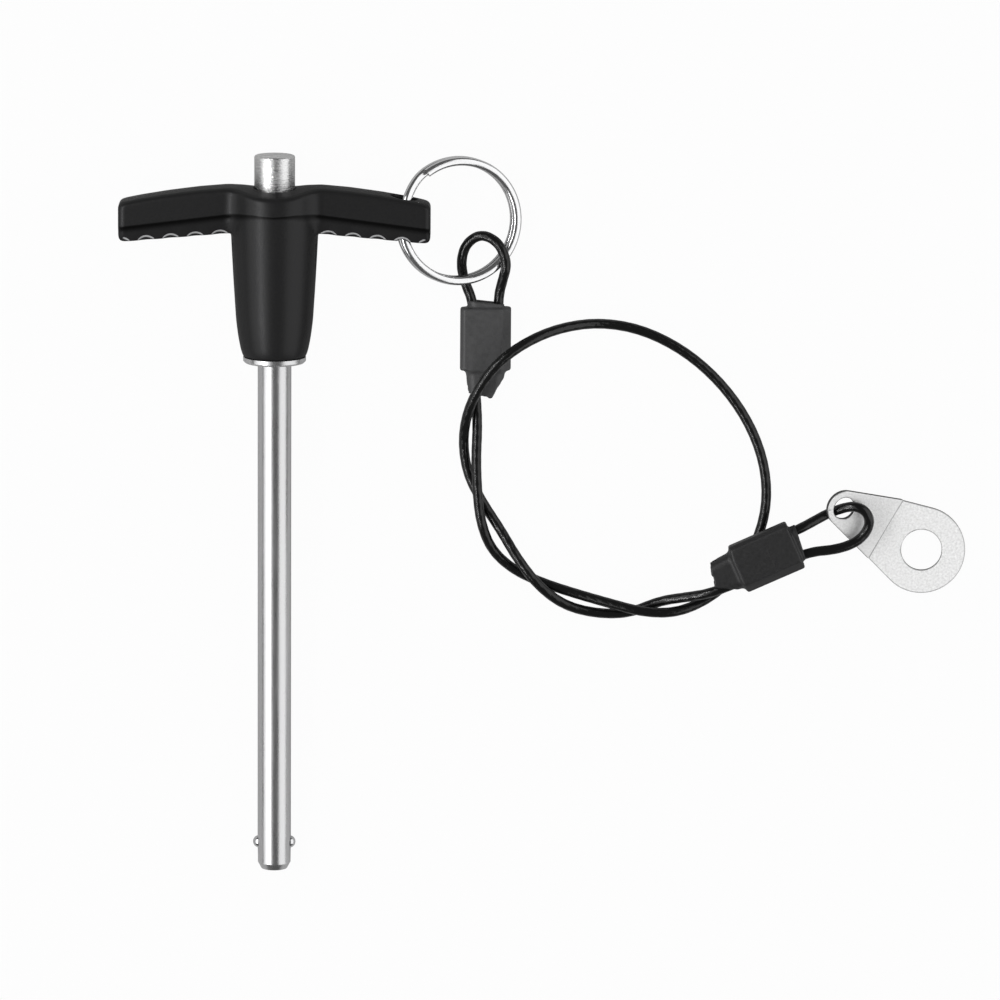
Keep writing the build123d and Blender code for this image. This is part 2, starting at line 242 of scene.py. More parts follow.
def addPaintedLeanShade(material, tones):
    nodes, links = material.node_tree.nodes, material.node_tree.links
    shader = nodes["Principled BSDF"]
    where = addNode(nodes, "ShaderNodeTexCoord")
    split = addNode(nodes, "ShaderNodeSeparateXYZ")
    links.new(where.outputs["Normal"], split.inputs[0])
    ramp = addNode(nodes, "ShaderNodeValToRGB")
    links.new(mathNode(nodes, links, "ABSOLUTE", split.outputs["Z"]), ramp.inputs["Fac"])
    stops = ramp.color_ramp.elements
    while len(stops) < len(tones):
        stops.new(0.5)
    for stop, (at, tone) in zip(stops, tones):
        stop.position = at
        stop.color = (tone, tone, tone, 1)
    face = shader.inputs["Base Color"].links[0].from_socket
    mix = addNode(nodes, "ShaderNodeMix", data_type="RGBA", blend_type="MULTIPLY")
    mix.inputs[0].default_value = 1
    links.new(face, mix.inputs[6])
    links.new(ramp.outputs["Color"], mix.inputs[7])
    links.new(mix.outputs[2], shader.inputs["Base Color"])


addPaintedLeanShade(tabSteel, tabPaintedShade)

# Painted light on the coat: a bright painted highlight along the scallops' rims, and painted shade
# along the belt.
coatPaintedLight = {
    "rimWidth": 0.115,  # millimetres
    "rimSolid": 0.6,  # share of that width in the full painted highlight
    "rimHighlightColor": (0.6, 0.6, 0.61, 1),
    "shadeFrom": -1.4,  # millimetres above the belt line, from here
    "shadeSolidFrom": 0.0,
    "shadeSolidTo": 0.1,
    "shadeTo": 0.45,  # to here
    "shadeColor": (0.005, 0.005, 0.005, 1),
}


def fadeNode(nodes, start, end):
    fade = addNode(nodes, "ShaderNodeMapRange", interpolation_type="SMOOTHSTEP")
    fade.inputs["From Min"].default_value = start
    fade.inputs["From Max"].default_value = end
    return fade


# Mixes painted shade along the belt and a painted highlight along the scallops' rims into the coat's
# colour.
def addCoatPaintedLight(material, v):
    nodes, links = material.node_tree.nodes, material.node_tree.links
    shader = nodes["Principled BSDF"]
    front = addNode(nodes, "ShaderNodeAttribute", attribute_name="frontGap")
    groove = addNode(nodes, "ShaderNodeAttribute", attribute_name="grooveGap")
    both = addNode(nodes, "ShaderNodeCombineXYZ")
    links.new(front.outputs["Fac"], both.inputs["X"])
    links.new(groove.outputs["Fac"], both.inputs["Y"])
    length = addNode(nodes, "ShaderNodeVectorMath", operation="LENGTH")
    links.new(both.outputs[0], length.inputs[0])
    near = fadeNode(nodes, v["rimWidth"], v["rimWidth"] * v["rimSolid"])
    links.new(length.outputs["Value"], near.inputs["Value"])
    belt = addNode(nodes, "ShaderNodeAttribute", attribute_name="beltGap")
    under = fadeNode(nodes, v["shadeFrom"], v["shadeSolidFrom"])
    links.new(belt.outputs["Fac"], under.inputs["Value"])
    over = fadeNode(nodes, v["shadeTo"], v["shadeSolidTo"])
    links.new(belt.outputs["Fac"], over.inputs["Value"])
    shade = mathNode(nodes, links, "MULTIPLY", under.outputs["Result"], over.outputs["Result"])
    coat = shader.inputs["Base Color"].links[0].from_socket
    dark = addNode(nodes, "ShaderNodeMix", data_type="RGBA")
    dark.inputs[7].default_value = v["shadeColor"]
    links.new(shade, dark.inputs[0])
    links.new(coat, dark.inputs[6])
    rimGlint = addNode(nodes, "ShaderNodeMix", data_type="RGBA")
    rimGlint.inputs[7].default_value = v["rimHighlightColor"]
    links.new(near.outputs["Result"], rimGlint.inputs[0])
    links.new(dark.outputs[2], rimGlint.inputs[6])
    links.new(rimGlint.outputs[2], shader.inputs["Base Color"])


addCoatPaintedLight(blackCoat, coatPaintedLight)
print("materials")


# A node tree with one shape in, named sizes, and one shape out.
def newTree(name, sizes):
    tree = bpy.data.node_groups.new(name, "GeometryNodeTree")
    tree.interface.new_socket("Shape", in_out="INPUT", socket_type="NodeSocketGeometry")
    for label, value in sizes.items():
        kind = "NodeSocketInt" if isinstance(value, int) else "NodeSocketFloat"
        tree.interface.new_socket(label, in_out="INPUT", socket_type=kind).default_value = value
    tree.interface.new_socket("Shape", in_out="OUTPUT", socket_type="NodeSocketGeometry")
    return tree, tree.nodes, tree.links, tree.nodes.new("NodeGroupInput")


def endTree(nodes, links, shape, material):
    whole = nodes.new("GeometryNodeRealizeInstances")
    paint = nodes.new("GeometryNodeSetMaterial")
    paint.inputs["Material"].default_value = material
    links.new(shape, whole.inputs[0])
    links.new(whole.outputs[0], paint.inputs["Geometry"])
    links.new(paint.outputs[0], nodes.new("NodeGroupOutput").inputs[0])


# Runs a tree on a line of points in metres and gives back the plain mesh, put in its place.
def meshFromTree(name, line, tree, sizes, place=None):
    data = bpy.data.curves.new(name + "Line", "CURVE")
    data.dimensions = "3D"
    spline = data.splines.new("POLY")
    spline.points.add(len(line) - 1)
    for point, where in zip(spline.points, line):
        point.co = (*where, 1)
    holder = bpy.data.objects.new(name + "Line", data)
    scene.collection.objects.link(holder)
    modifier = holder.modifiers.new("shape", "NODES")
    modifier.node_group = tree
    for item in tree.interface.items_tree:
        if item.in_out == "INPUT" and item.name in sizes:
            modifier[item.identifier] = sizes[item.name]
    graph = bpy.context.evaluated_depsgraph_get()
    mesh = bpy.data.meshes.new_from_object(holder.evaluated_get(graph), depsgraph=graph)
    mesh.name = name
    if place:
        mesh.transform(place)
    mesh.polygons.foreach_set("use_smooth", [True] * len(mesh.polygons))
    bpy.data.objects.remove(holder)
    bpy.data.curves.remove(data)
    piece = bpy.data.objects.new(name, mesh)
    scene.collection.objects.link(piece)
    return piece


# Where the two sleeves lie: the middle, its height above the floor, and the turn in degrees.
sleevePlaces = {
    "ringEnd": (39.7, 4.15, 2.55, 90.0),
    "tabEnd": (93.2, -36.8, 5.35, 24.2),
}


def sleevePlace(x, y, up, turn):
    return Matrix.Translation((x, y, floorZ + up)) @ Matrix.Rotation(math.radians(turn), 4, "Z")


ringEnd = sleevePlace(*sleevePlaces["ringEnd"])
tabEnd = sleevePlace(*sleevePlaces["tabEnd"])


# A point of the cable inside or beside a sleeve, along it and across it.
def atSleeve(end, along, across, up=0.0):
    point = end @ Vector((along, across, 0))
    return (point.x, point.y, point.z - floorZ + up)


cableValues = {
    "radius": 0.95,
    "strands": 6,
    "relief": 0.026,  # depth between two strands, as a share of the radius
    "twist": 13.0,  # length of one full turn of the strands
    "around": 40,
    "step": 0.3,
}

# The solid's own route, from the ring's eye round to the tab's eye, with heights above the floor.
cableRoute = [
    atSleeve(ringEnd, -6.3, -2.35),
    atSleeve(ringEnd, 0.6, -2.37),
    atSleeve(ringEnd, 8.0, -2.35),
    (42.9, 15.6, 4.0),
    (43.7, 18.8, 5.4),
    (42.2, 22.6, 4.9),
    (38.8, 24.3, 4.1),
    (35.8, 22.2, 3.2),
    (34.9, 18.4, 2.2),
    (35.7, 14.7, 1.7),
    atSleeve(ringEnd, 6.9, 2.35),
    atSleeve(ringEnd, 1.0, 2.33),
    atSleeve(ringEnd, -5.0, 2.25),
    (38.0, -7.2, 2.55),
    (38.3, -12.6, 3.1),
    (38.05, -18.6, 3.45),
    (38.3, -24.8, 3.55),
    (39.0, -31.0, 3.1),
    (41.1, -36.6, 1.3),
    (45.5, -40.5, 1.0),
    (51.0, -42.9, 1.0),
    (57.0, -44.8, 1.1),
    (63.5, -46.4, 2.5),
    (69.8, -47.9, 3.6),
    (76.0, -48.2, 2.8),
    (81.7, -46.2, 1.0),
    (86.7, -42.2, 1.0),
    (90.2, -37.2, 1.0),
    (92.6, -31.4, 1.0),
    (93.4, -25.0, 1.0),
    (92.3, -17.9, 1.0),
    (89.1, -10.6, 1.0),
    (83.9, -3.7, 1.0),
    (77.2, 2.0, 1.0),
    (69.3, 5.9, 1.0),
    (61.3, 7.3, 1.8),
    (53.9, 6.6, 4.6),
    (47.6, 4.3, 7.2),
    (42.3, 0.6, 8.3),
    (38.5, -4.4, 7.3),
    (36.2, -10.0, 4.8),
    (35.5, -16.0, 2.0),
    (36.5, -22.2, 1.0),
    (39.4, -27.6, 1.0),
    (42.8, -32.6, 1.5),
    (46.0, -37.8, 3.4),
    (50.0, -43.0, 3.5),
    (55.0, -47.0, 2.1),
    (61.2, -48.7, 1.0),
    (67.4, -48.6, 1.0),
    (73.2, -46.1, 1.2),
    (78.2, -45.0, 3.3),
    atSleeve(tabEnd, -12.7, -2.15, -0.05),
    atSleeve(tabEnd, -6.6, -2.35),
    atSleeve(tabEnd, 0.6, -2.37),
    atSleeve(tabEnd, 7.6, -2.35),
    (106.4, -35.4, 5.0),
    (110.2, -34.1, 4.5),
    (112.3, -31.9, 4.4),
    (112.7, -29.4, 5.3),
    (111.5, -27.5, 6.0),
    (109.2, -26.8, 5.65),
    (105.2, -28.5, 3.45),
    (102.4, -29.9, 4.4),
    atSleeve(tabEnd, 7.7, 2.35),
    atSleeve(tabEnd, 1.8, 2.37),
    atSleeve(tabEnd, -4.9, 2.35),
]


# The smooth line that the route's points pull.
def smoothLine(route):
    data = bpy.data.curves.new("cableLine", "CURVE")
    data.dimensions = "3D"
    data.resolution_u = 8
    spline = data.splines.new("NURBS")
    spline.points.add(len(route) - 1)
    for point, (x, y, up) in zip(spline.points, route):
        point.co = (x / 1000, y / 1000, (floorZ + up) / 1000, 1)
    spline.order_u = 3
    spline.use_endpoint_u = True
    holder = bpy.data.objects.new("cableLine", data)
    mesh = bpy.data.meshes.new_from_object(holder)
    line = np.array([v.co for v in mesh.vertices], float) * 1000
    bpy.data.objects.remove(holder)
    bpy.data.curves.remove(data)
    bpy.data.meshes.remove(mesh)
    return line


# The same line in even steps, and how far along it each point lies.
def evenLine(line, step):
    along = np.concatenate([[0], np.cumsum(np.linalg.norm(np.diff(line, axis=0), axis=1))])
    at = np.linspace(0, along[-1], int(along[-1] / step) + 1)
    return np.stack([np.interp(at, along, line[:, k]) for k in range(3)], axis=1), at


# A lobed tube along the line, turned steadily so that its lobes lie like strands.
def ropeTree(v, material):
    tree, nodes, links, given = newTree("rope", {
        "Radius": v["radius"] / 1000,
        "Strands": v["strands"],
        "Relief": v["relief"],
        "Twist": v["twist"] / 1000,
        "Around": v["around"],
    })
    share = nodes.new("GeometryNodeSplineParameter")
    tilt = nodes.new("GeometryNodeSetCurveTilt")
    turns = mathNode(nodes, links, "DIVIDE", share.outputs["Length"], given.outputs["Twist"])
    links.new(given.outputs["Shape"], tilt.inputs["Curve"])
    links.new(mathNode(nodes, links, "MULTIPLY", turns, 2 * math.pi), tilt.inputs["Tilt"])
    outline = nodes.new("GeometryNodeCurvePrimitiveCircle")
    links.new(given.outputs["Around"], outline.inputs["Resolution"])
    links.new(given.outputs["Radius"], outline.inputs["Radius"])
    around = nodes.new("GeometryNodeSplineParameter")
    lobes = mathNode(nodes, links, "MULTIPLY", around.outputs["Factor"], given.outputs["Strands"])
    wave = mathNode(nodes, links, "COSINE", mathNode(nodes, links, "MULTIPLY", lobes, math.pi))
    hollow = mathNode(nodes, links, "SUBTRACT", 1.0, mathNode(nodes, links, "ABSOLUTE", wave))
    shrink = mathNode(nodes, links, "MULTIPLY", hollow, given.outputs["Relief"])
    factor = mathNode(nodes, links, "SUBTRACT", 1.0, shrink)
    position = nodes.new("GeometryNodeInputPosition")
    scaled = addNode(nodes, "ShaderNodeVectorMath", operation="SCALE")
    links.new(position.outputs[0], scaled.inputs[0])
    links.new(factor, scaled.inputs["Scale"])
    lobed = nodes.new("GeometryNodeSetPosition")
    links.new(outline.outputs["Curve"], lobed.inputs["Geometry"])
    links.new(scaled.outputs[0], lobed.inputs["Position"])
    tube = nodes.new("GeometryNodeCurveToMesh")
    tube.inputs["Fill Caps"].default_value = True
    links.new(tilt.outputs["Curve"], tube.inputs["Curve"])
    links.new(lobed.outputs["Geometry"], tube.inputs["Profile Curve"])
    endTree(nodes, links, tube.outputs["Mesh"], material)
    return tree


def makeCable(v, route):
    line, at = evenLine(smoothLine(route), v["step"])
    tree = ropeTree(v, blackCable)
    cable = meshFromTree("cableRope", line / 1000, tree, {"Relief": v["relief"]})
    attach(cable, "lanyard")
    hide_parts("cable")
    return cable, line, at[-1]


cableRope, cablePath, cableLength = makeCable(cableValues, cableRoute)
print("cable", round(cableLength, 1), "mm")


# The handle and the sleeves are formulas for how far a point is from the surface, less than 0 inside.
# softMin joins two such solids and softMax keeps what they share, both with a fillet of about k.
def softMin(a, b, k):
    h = np.clip(0.5 + 0.5 * (b - a) / k, 0, 1)
    return b * (1 - h) + a * h - k * h * (1 - h)


def softMax(a, b, k):
    return -softMin(-a, -b, k)


# Moves points along the slope of the distance until they lie on the surface, no further than reach.
def towardSurface(distance, points, step, reach):
    x, y, z = points.T
    value = distance(x, y, z)
    slopeX = (distance(x + step, y, z) - distance(x - step, y, z)) / (2 * step)
    slopeY = (distance(x, y + step, z) - distance(x, y - step, z)) / (2 * step)
    slopeZ = (distance(x, y, z + step) - distance(x, y, z - step)) / (2 * step)
    slopes = np.stack([slopeX, slopeY, slopeZ], axis=1)
    size = np.maximum((slopes**2).sum(axis=1), 1e-6)
    move = -(value / size)[:, None] * slopes
    far = np.maximum(np.linalg.norm(move, axis=1) / reach, 1)
    return points + move / far[:, None]


# One point in each cell that the surface crosses, and one face over each grid edge that it crosses.
def surfaceOf(distance, low, high, cell):
    low = np.array(low, float)
    count = np.ceil((np.array(high) - low) / cell).astype(int) + 1
    axes = [low[k] + cell * np.arange(count[k]) for k in range(3)]
    grid = np.meshgrid(*axes, indexing="ij")
    field = distance(*grid).astype(np.float32)
    inside = field < 0
    corners = [
        inside[i : i - 1 or None, j : j - 1 or None, k : k - 1 or None]
        for i in (0, 1)
        for j in (0, 1)
        for k in (0, 1)
    ]
    total = np.sum(corners, axis=0)
    mixed = (total > 0) & (total < 8)
    index = -np.ones(mixed.shape, int)  # each crossed cell's point number
    index[mixed] = np.arange(mixed.sum())
    cells = np.argwhere(mixed)
    points = low + (cells + 0.5) * cell
    for _ in range(6):
        points = towardSurface(distance, points, cell * 0.25, cell * 0.6)
    centre = low + (cells + 0.5) * cell
    points = np.clip(points, centre - 0.75 * cell, centre + 0.75 * cell)
    faces = []
    for axis in range(3):
        a, b = [k for k in range(3) if k != axis]
        lower = [slice(None)] * 3
        upper = [slice(None)] * 3
        lower[axis], upper[axis] = slice(0, -1), slice(1, None)
        change = inside[tuple(lower)] != inside[tuple(upper)]
        for side in (a, b):
            for rim in (0, -1):
                border = [slice(None)] * 3
                border[side] = rim
                change[tuple(border)] = False
        at = np.argwhere(change)  # the grid edges along this axis that the surface crosses
        leaving = inside[tuple(at.T)]
        stepA, stepB = np.eye(3, dtype=int)[a], np.eye(3, dtype=int)[b]
        quad = [
            index[tuple((at - i * stepA - j * stepB).T)]
            for i, j in ((1, 1), (0, 1), (0, 0), (1, 0))
        ]
        quad = np.stack(quad, axis=1)
        outward = leaving if axis != 1 else ~leaving  # so that every face points outwards
        quad[~outward] = quad[~outward][:, ::-1]
        faces.append(quad)
    return points, np.concatenate(faces)


# The handle: a round hub, two arms with a belt line, and a crowned saddle over both.
handleValues = {
    "cell": 0.225,
    "boxLow": (-30.5, 0.4, -9.6),
    "boxHigh": (30.5, 35.5, 9.6),
    "hubAt": (0.0, 1.2, 4.0, 7.0, 14.8, 22.5, 27.4, 33.0),
    "hubR": (5.85, 6.33, 6.86, 7.24, 7.74, 8.15, 8.28, 8.0),
    "topX": (0.0, 3.8, 6.2, 8.7, 14.0, 20.0, 25.0, 28.4, 31.0),
    "topAt": (32.0, 32.08, 32.35, 32.5, 32.05, 31.25, 30.4, 29.7, 29.0),
    "crownR": 30.0,
    "crownHalf": 12,
    "hubEase": 0.99,  # both distances are eased a little, because their tables slope
    "topEase": 0.98,
    "armRoot": 8,
    "armEnd": 29.25,
    "rootLow": 23.8,  # height of the lower edge at the arm's root
    "lowDrop": 0.0871,  # its fall for each millimetre outwards
    "rootBelt": 27.4,  # height of the belt line there
    "beltDrop": 0.127,
    "beltFlat": 4,
    "halfLow": 3.1,  # half the arm's thickness at its lower edge
    "halfBelt": 4.0,
    "halfTop": 3.7,
    "underBow": 0.8,
    "overRise": 5.0,
    "overMost": 1.2,
    "ledge": 0.27,  # how far the arm stands back under its belt
    "ledgeHalf": 0.55,
    "lowRound": 0.3,
    "endRound": 1.4,
    "topRound": 1.1,
    "footRound": 0.5,
    "blendLow": 0.9,  # fillet between hub and arm at the lower edge
    "blendHigh": 2.0,  # and from blendRise above it
    "blendRise": 2.4,
    "scallopR": 3.2,
    "scallopDeep": 0.4,
    "scallopRound": 0.14,
    "scallopClearX": 7.7,  # the cutters stop short of the hub
    "scallopClearZ": 1.3,  # and of the arm's middle
    "flute": 0.2,
    "fluteWide": 1.25,
    "pitch": 4.6,
    "first": 10.0,
    "lastScallop": 4,  # counted from 0
    "holeX": 24.2,
    "holeR": 2.5,
    "buttonHoleR": 3.95,
    "holeRound": 0.3,
    "rimFromX": 8.2,  # no painted rim highlight nearer the hub than this
    "beltDip": 0.35,  # how far the belt's shade dips over the hub
    "beltSpread": 1.5,  # and how much it narrows there
    "beltSpreadX": 3.5,
}


# A table read as a smooth curve: its corners are averaged over about a tenth of its length.
def smoothTable(x, xs, ys):
    at = np.linspace(xs[0], xs[-1], 400)
    fine = np.interp(at, xs, ys)
    kernel = np.hanning(41)
    kernel /= kernel.sum()
    padded = np.concatenate([2 * fine[0] - fine[20:0:-1], fine, 2 * fine[-1] - fine[-2:-22:-1]])
    return np.interp(x, at, np.convolve(padded, kernel, "valid"))


# The heights of the arm's lower edge and of its belt line.
def armEdges(x):
    v = handleValues
    out = np.abs(x)
    lowEdge = v["rootLow"] - (out - v["armRoot"]) * v["lowDrop"]
    belt = v["rootBelt"] - (np.maximum(out, v["beltFlat"]) - v["armRoot"]) * v["beltDrop"]
    return lowEdge, belt


def nearestScallop(x):
    v = handleValues
    number = np.clip(np.round((np.abs(x) - v["first"]) / v["pitch"]), 0, v["lastScallop"])
    return v["first"] + v["pitch"] * number


# Half the arm's thickness, with its ledge along the belt and the flutes above the scallops.
def armHalf(x, y):
    v = handleValues
    lowEdge, belt = armEdges(x)
    rise = np.clip((y - lowEdge) / (belt - lowEdge), 0, 1)
    under = v["halfLow"] + (v["halfBelt"] - v["halfLow"]) * rise ** v["underBow"]
    above = np.clip((y - belt) / v["overRise"], 0, v["overMost"])
    over = v["halfBelt"] + (v["halfTop"] - v["halfBelt"]) * above
    step = np.clip((y - belt) / v["ledgeHalf"], -1, 1) * 0.5 + 0.5
    step = step * step * (3 - 2 * step)
    aside = (np.abs(x) - nearestScallop(x)) / v["fluteWide"]
    flute = v["flute"] * np.exp(-(aside**2)) * (1 - rise) ** 2
    return (under - flute) * (1 - step) + over * step - v["ledge"] * (1 - step)


# How far a point is outside the nearest scallop's cutter, a cylinder laid across the lower edge.
def scallopGap(x, y, z):
    v = handleValues
    back = (v["scallopR"] - v["scallopDeep"]) / math.sqrt(2)
    middle = nearestScallop(x)
    dy = y - v["rootLow"] + (middle - v["armRoot"]) * v["lowDrop"] + back
    dz = np.abs(z) - (v["halfLow"] - v["ledge"] + back)
    gap = np.sqrt((np.abs(x) - middle) ** 2 + (dy - dz) ** 2 / 2) - v["scallopR"]
    return np.maximum(gap, np.maximum(v["scallopClearZ"] - np.abs(z), v["scallopClearX"] - np.abs(x)))


def handleDistance(x, y, z):
    v = handleValues
    y = y - pin["handleY"]
    radial = np.sqrt(x * x + z * z)
    lowEdge = armEdges(x)[0]
    hub = (radial - smoothTable(np.clip(y, 0, v["hubAt"][-1]), v["hubAt"], v["hubR"])) * v["hubEase"]
    arm = softMax(np.abs(z) - armHalf(x, y), lowEdge - y, v["lowRound"])
    arm = softMax(arm, np.abs(x) - v["armEnd"], v["endRound"])
    share = np.clip((y - lowEdge) / v["blendRise"], 0, 1)
    body = softMin(hub, arm, v["blendLow"] + (v["blendHigh"] - v["blendLow"]) * share)
    top = smoothTable(np.clip(np.abs(x), 0, v["topX"][-1]), v["topX"], v["topAt"])
    across = np.clip(z, -v["crownHalf"], v["crownHalf"])
    drop = v["crownR"] - np.sqrt(v["crownR"] ** 2 - across**2)
    body = softMax(body, (y - top + drop) * v["topEase"], v["topRound"])
    body = softMax(body, -y, v["footRound"])
    body = softMax(body, -scallopGap(x, y, z), v["scallopRound"])
    ringHole = v["holeR"] - np.sqrt((x - v["holeX"]) ** 2 + z * z)
    body = softMax(body, ringHole, v["holeRound"])
    return softMax(body, v["buttonHoleR"] - radial, v["holeRound"])


# How far each point is inside the arm's face, outside the scallops and above the belt line, which
# places the painted rim highlight and the painted belt shade.
def paintedLightGaps(points):
    v = handleValues
    x, y, z = points[:, 0], points[:, 1] - pin["handleY"], points[:, 2]
    out = np.abs(x)
    front = armHalf(x, y) - np.abs(z)
    groove = np.where(out > v["rimFromX"], scallopGap(x, y, z), 3.0)
    dip = np.where(out < v["armRoot"], v["beltDip"] * (1 - out / v["armRoot"]), 0)
    belt = y - armEdges(x)[1] + dip
    spread = 1 + v["beltSpread"] * np.exp(-((x / v["beltSpreadX"]) ** 2))
    belt = np.where(out < pin["hubR"] + 1.0, belt * spread, belt)
    return {"frontGap": front, "grooveGap": groove, "beltGap": belt}


def makeHandle(v):
    points, faces = surfaceOf(handleDistance, v["boxLow"], v["boxHigh"], v["cell"])
    handle = makePiece("handleBody", points.tolist(), faces.tolist(), blackCoat, "pin", leanBy)
    for label, gaps in paintedLightGaps(points).items():
        layer = handle.data.attributes.new(label, "FLOAT", "POINT")
        layer.data.foreach_set("value", np.clip(gaps, -4, 4))
    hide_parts("handle")


makeHandle(handleValues)
print("handle")


# A turned piece, closed at both ends, from its corners' radii and heights.
def latheMesh(profile, around):
    angle = np.linspace(0, 2 * math.pi, around, endpoint=False)
    points = []
    for r, y in profile:
        ring = np.stack([r * np.sin(angle), np.full(around, y), r * np.cos(angle)], axis=1)
        points.extend(tuple(point) for point in ring)
    faces = []
    for i in range(len(profile) - 1):
        low, high = i * around, (i + 1) * around
        for j in range(around):
            k = (j + 1) % around
            faces.append((low + j, low + k, high + k, high + j))
    faces.append(tuple(reversed(range(around))))
    faces.append(tuple((len(profile) - 1) * around + j for j in range(around)))
    return points, faces


buttonValues = {
    "radius": 3.82,
    "low": 21.1,
    "high": 39.3,
    "edge": 0.35,
    "edgeSteps": 7,
    "chamfer": 0.3,
    "capR": 0.3,
    "around": 96,
}


def makeButton(v):
    r, e = v["radius"], v["edge"]
    turns = np.linspace(0, math.pi / 2, v["edgeSteps"])
    edge = [(r - e + e * math.cos(t), v["high"] - e + e * math.sin(t)) for t in turns]
    foot = [(r - v["chamfer"], v["low"]), (r, v["low"] + v["chamfer"])]
    points, faces = latheMesh([*foot, *edge, (v["capR"], v["high"])], v["around"])
    button = makePiece("buttonCap", points, faces, buttonSteel, "plunger", leanBy)
    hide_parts("button")


makeButton(buttonValues)
print("button")

# The spring shortens as the button goes down; this coil is made once at its rest length and is
# attached to neither body.
springValues = {
    "radius": 0.4,
    "strands": 1,
    "relief": 0.0,
    "twist": 8.0,
    "around": 16,
    "coilR": 2.55,
    "low": 13.62,
    "high": 20.58,
    "turns": 5,
    "turnSteps": 40,
}


def makeSpring(v):
    line = []
    for share in np.linspace(0, 1, v["turnSteps"] * v["turns"] + 1):
        angle = 2 * math.pi * v["turns"] * share
        y = v["low"] + (v["high"] - v["low"]) * share
        x, z = v["coilR"] * math.sin(angle), v["coilR"] * math.cos(angle)
        line.append((x / 1000, y / 1000, z / 1000))
    spring = meshFromTree("springCoil", line, ropeTree(v, steel), {"Relief": v["relief"]}, leanBy)
    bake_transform(spring)
    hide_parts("spring")


makeSpring(springValues)
print("spring")

# The split ring: two flat turns of wire, and the step between them beside the cut.
ringValues = {
    "centre": (34.491, 26.8, floorZ + 5.22),
    "droop": 18.09,  # degrees
    "meanR": 11.3,
    "wide": 1.65,
    "thick": 1.5,
    "gap": 0.06,
    "cut": 125.0,  # degrees, where the wire's end lies
    "stepTurn": 36.0,  # degrees that the step takes
    "lineTurn": 2.0,
    "round": 0.62,
    "roundSteps": 5,
}


# Wire of rounded flat section, bent along the line and kept square to the ring's axis.
def ringTree(v, material):
    tree, nodes, links, given = newTree("flatWire", {
        "Wide": v["wide"] / 1000,
        "Thick": v["thick"] / 1000,
        "Round": v["round"] / 1000,
        "Round Steps": v["roundSteps"],
    })
    upright = nodes.new("GeometryNodeSetCurveNormal")
    upright.mode = "Z_UP"
    links.new(given.outputs["Shape"], upright.inputs["Curve"])
    outline = nodes.new("GeometryNodeCurvePrimitiveQuadrilateral")
    links.new(given.outputs["Wide"], outline.inputs["Width"])
    links.new(given.outputs["Thick"], outline.inputs["Height"])
    rounded = nodes.new("GeometryNodeFilletCurve")
    rounded.mode = "POLY"
    links.new(given.outputs["Round Steps"], rounded.inputs["Count"])
    links.new(outline.outputs["Curve"], rounded.inputs["Curve"])
    links.new(given.outputs["Round"], rounded.inputs["Radius"])
    wire = nodes.new("GeometryNodeCurveToMesh")
    wire.inputs["Fill Caps"].default_value = True
    links.new(upright.outputs["Curve"], wire.inputs["Curve"])
    links.new(rounded.outputs["Curve"], wire.inputs["Profile Curve"])
    endTree(nodes, links, wire.outputs["Mesh"], material)
    return tree


def makeRing(v):
    step = v["thick"] + v["gap"]
    line = []
    for turn in np.arange(0, 720 - v["stepTurn"] + 0.1, v["lineTurn"]):
        climb = min(max((turn - 360 + v["stepTurn"]) / v["stepTurn"], 0), 1)
        up = (climb * climb * (3 - 2 * climb) - 0.5) * step
        angle = math.radians(turn + v["cut"] + v["stepTurn"])
        x, y = v["meanR"] * math.cos(angle), v["meanR"] * math.sin(angle)
        line.append((x / 1000, y / 1000, up / 1000))
    droop = Matrix.Rotation(math.radians(v["droop"]), 4, "Y")
    place = Matrix.Translation(Vector(v["centre"]) / 1000) @ droop
    tree = ringTree(v, ringSteel)
    ring = meshFromTree("splitRing", line, tree, {"Wide": v["wide"] / 1000}, place)
    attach(ring, "lanyard")
    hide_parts("split_ring")


makeRing(ringValues)
print("ring")

# The shrunk sleeves: a bevelled block over the ferrule, a collar at the eye and a torn tail.
sleeveValues = {
    "cell": 0.2,
    "boxLow": (-12.6, -5.4, -3.1),
    "boxHigh": (8.4, 5.4, 3.1),
    "wide": 9.6,
    "thick": 5.0,
    "long": 11.9,
    "wideBevel": 1.75,  # on two opposite edges
    "slimBevel": 0.75,  # on the other two
    "edgeRound": 0.3,
    "bevelRound": 0.16,
    "endRound": 0.5,
    "collar": 1.05,
    "collarBar": (3.5, 1.9, 1.85),  # each bar: half width, half thickness, corner radius
    "collarSlant": 0.1,
    "tail": 5.6,
    "tailBar": (3.7, 2.0, 1.8),
    "tailNarrows": 0.45,
    "tailThins": 0.15,
    "ferruleBar": (4.04, 1.69, 1.6),
    "ferruleHalf": 5.2,
    "wayBar": (3.42, 1.07, 1.0),
}


# A bar with rounded corners: half its width, half its thickness and the corners' radius.
def roundBar(v, w, halfV, halfW, r):
    dv, dw = np.abs(v) - (halfV - r), np.abs(w) - (halfW - r)
    out = np.sqrt(np.maximum(dv, 0) ** 2 + np.maximum(dw, 0) ** 2)
    return out + np.minimum(np.maximum(dv, dw), 0) - r


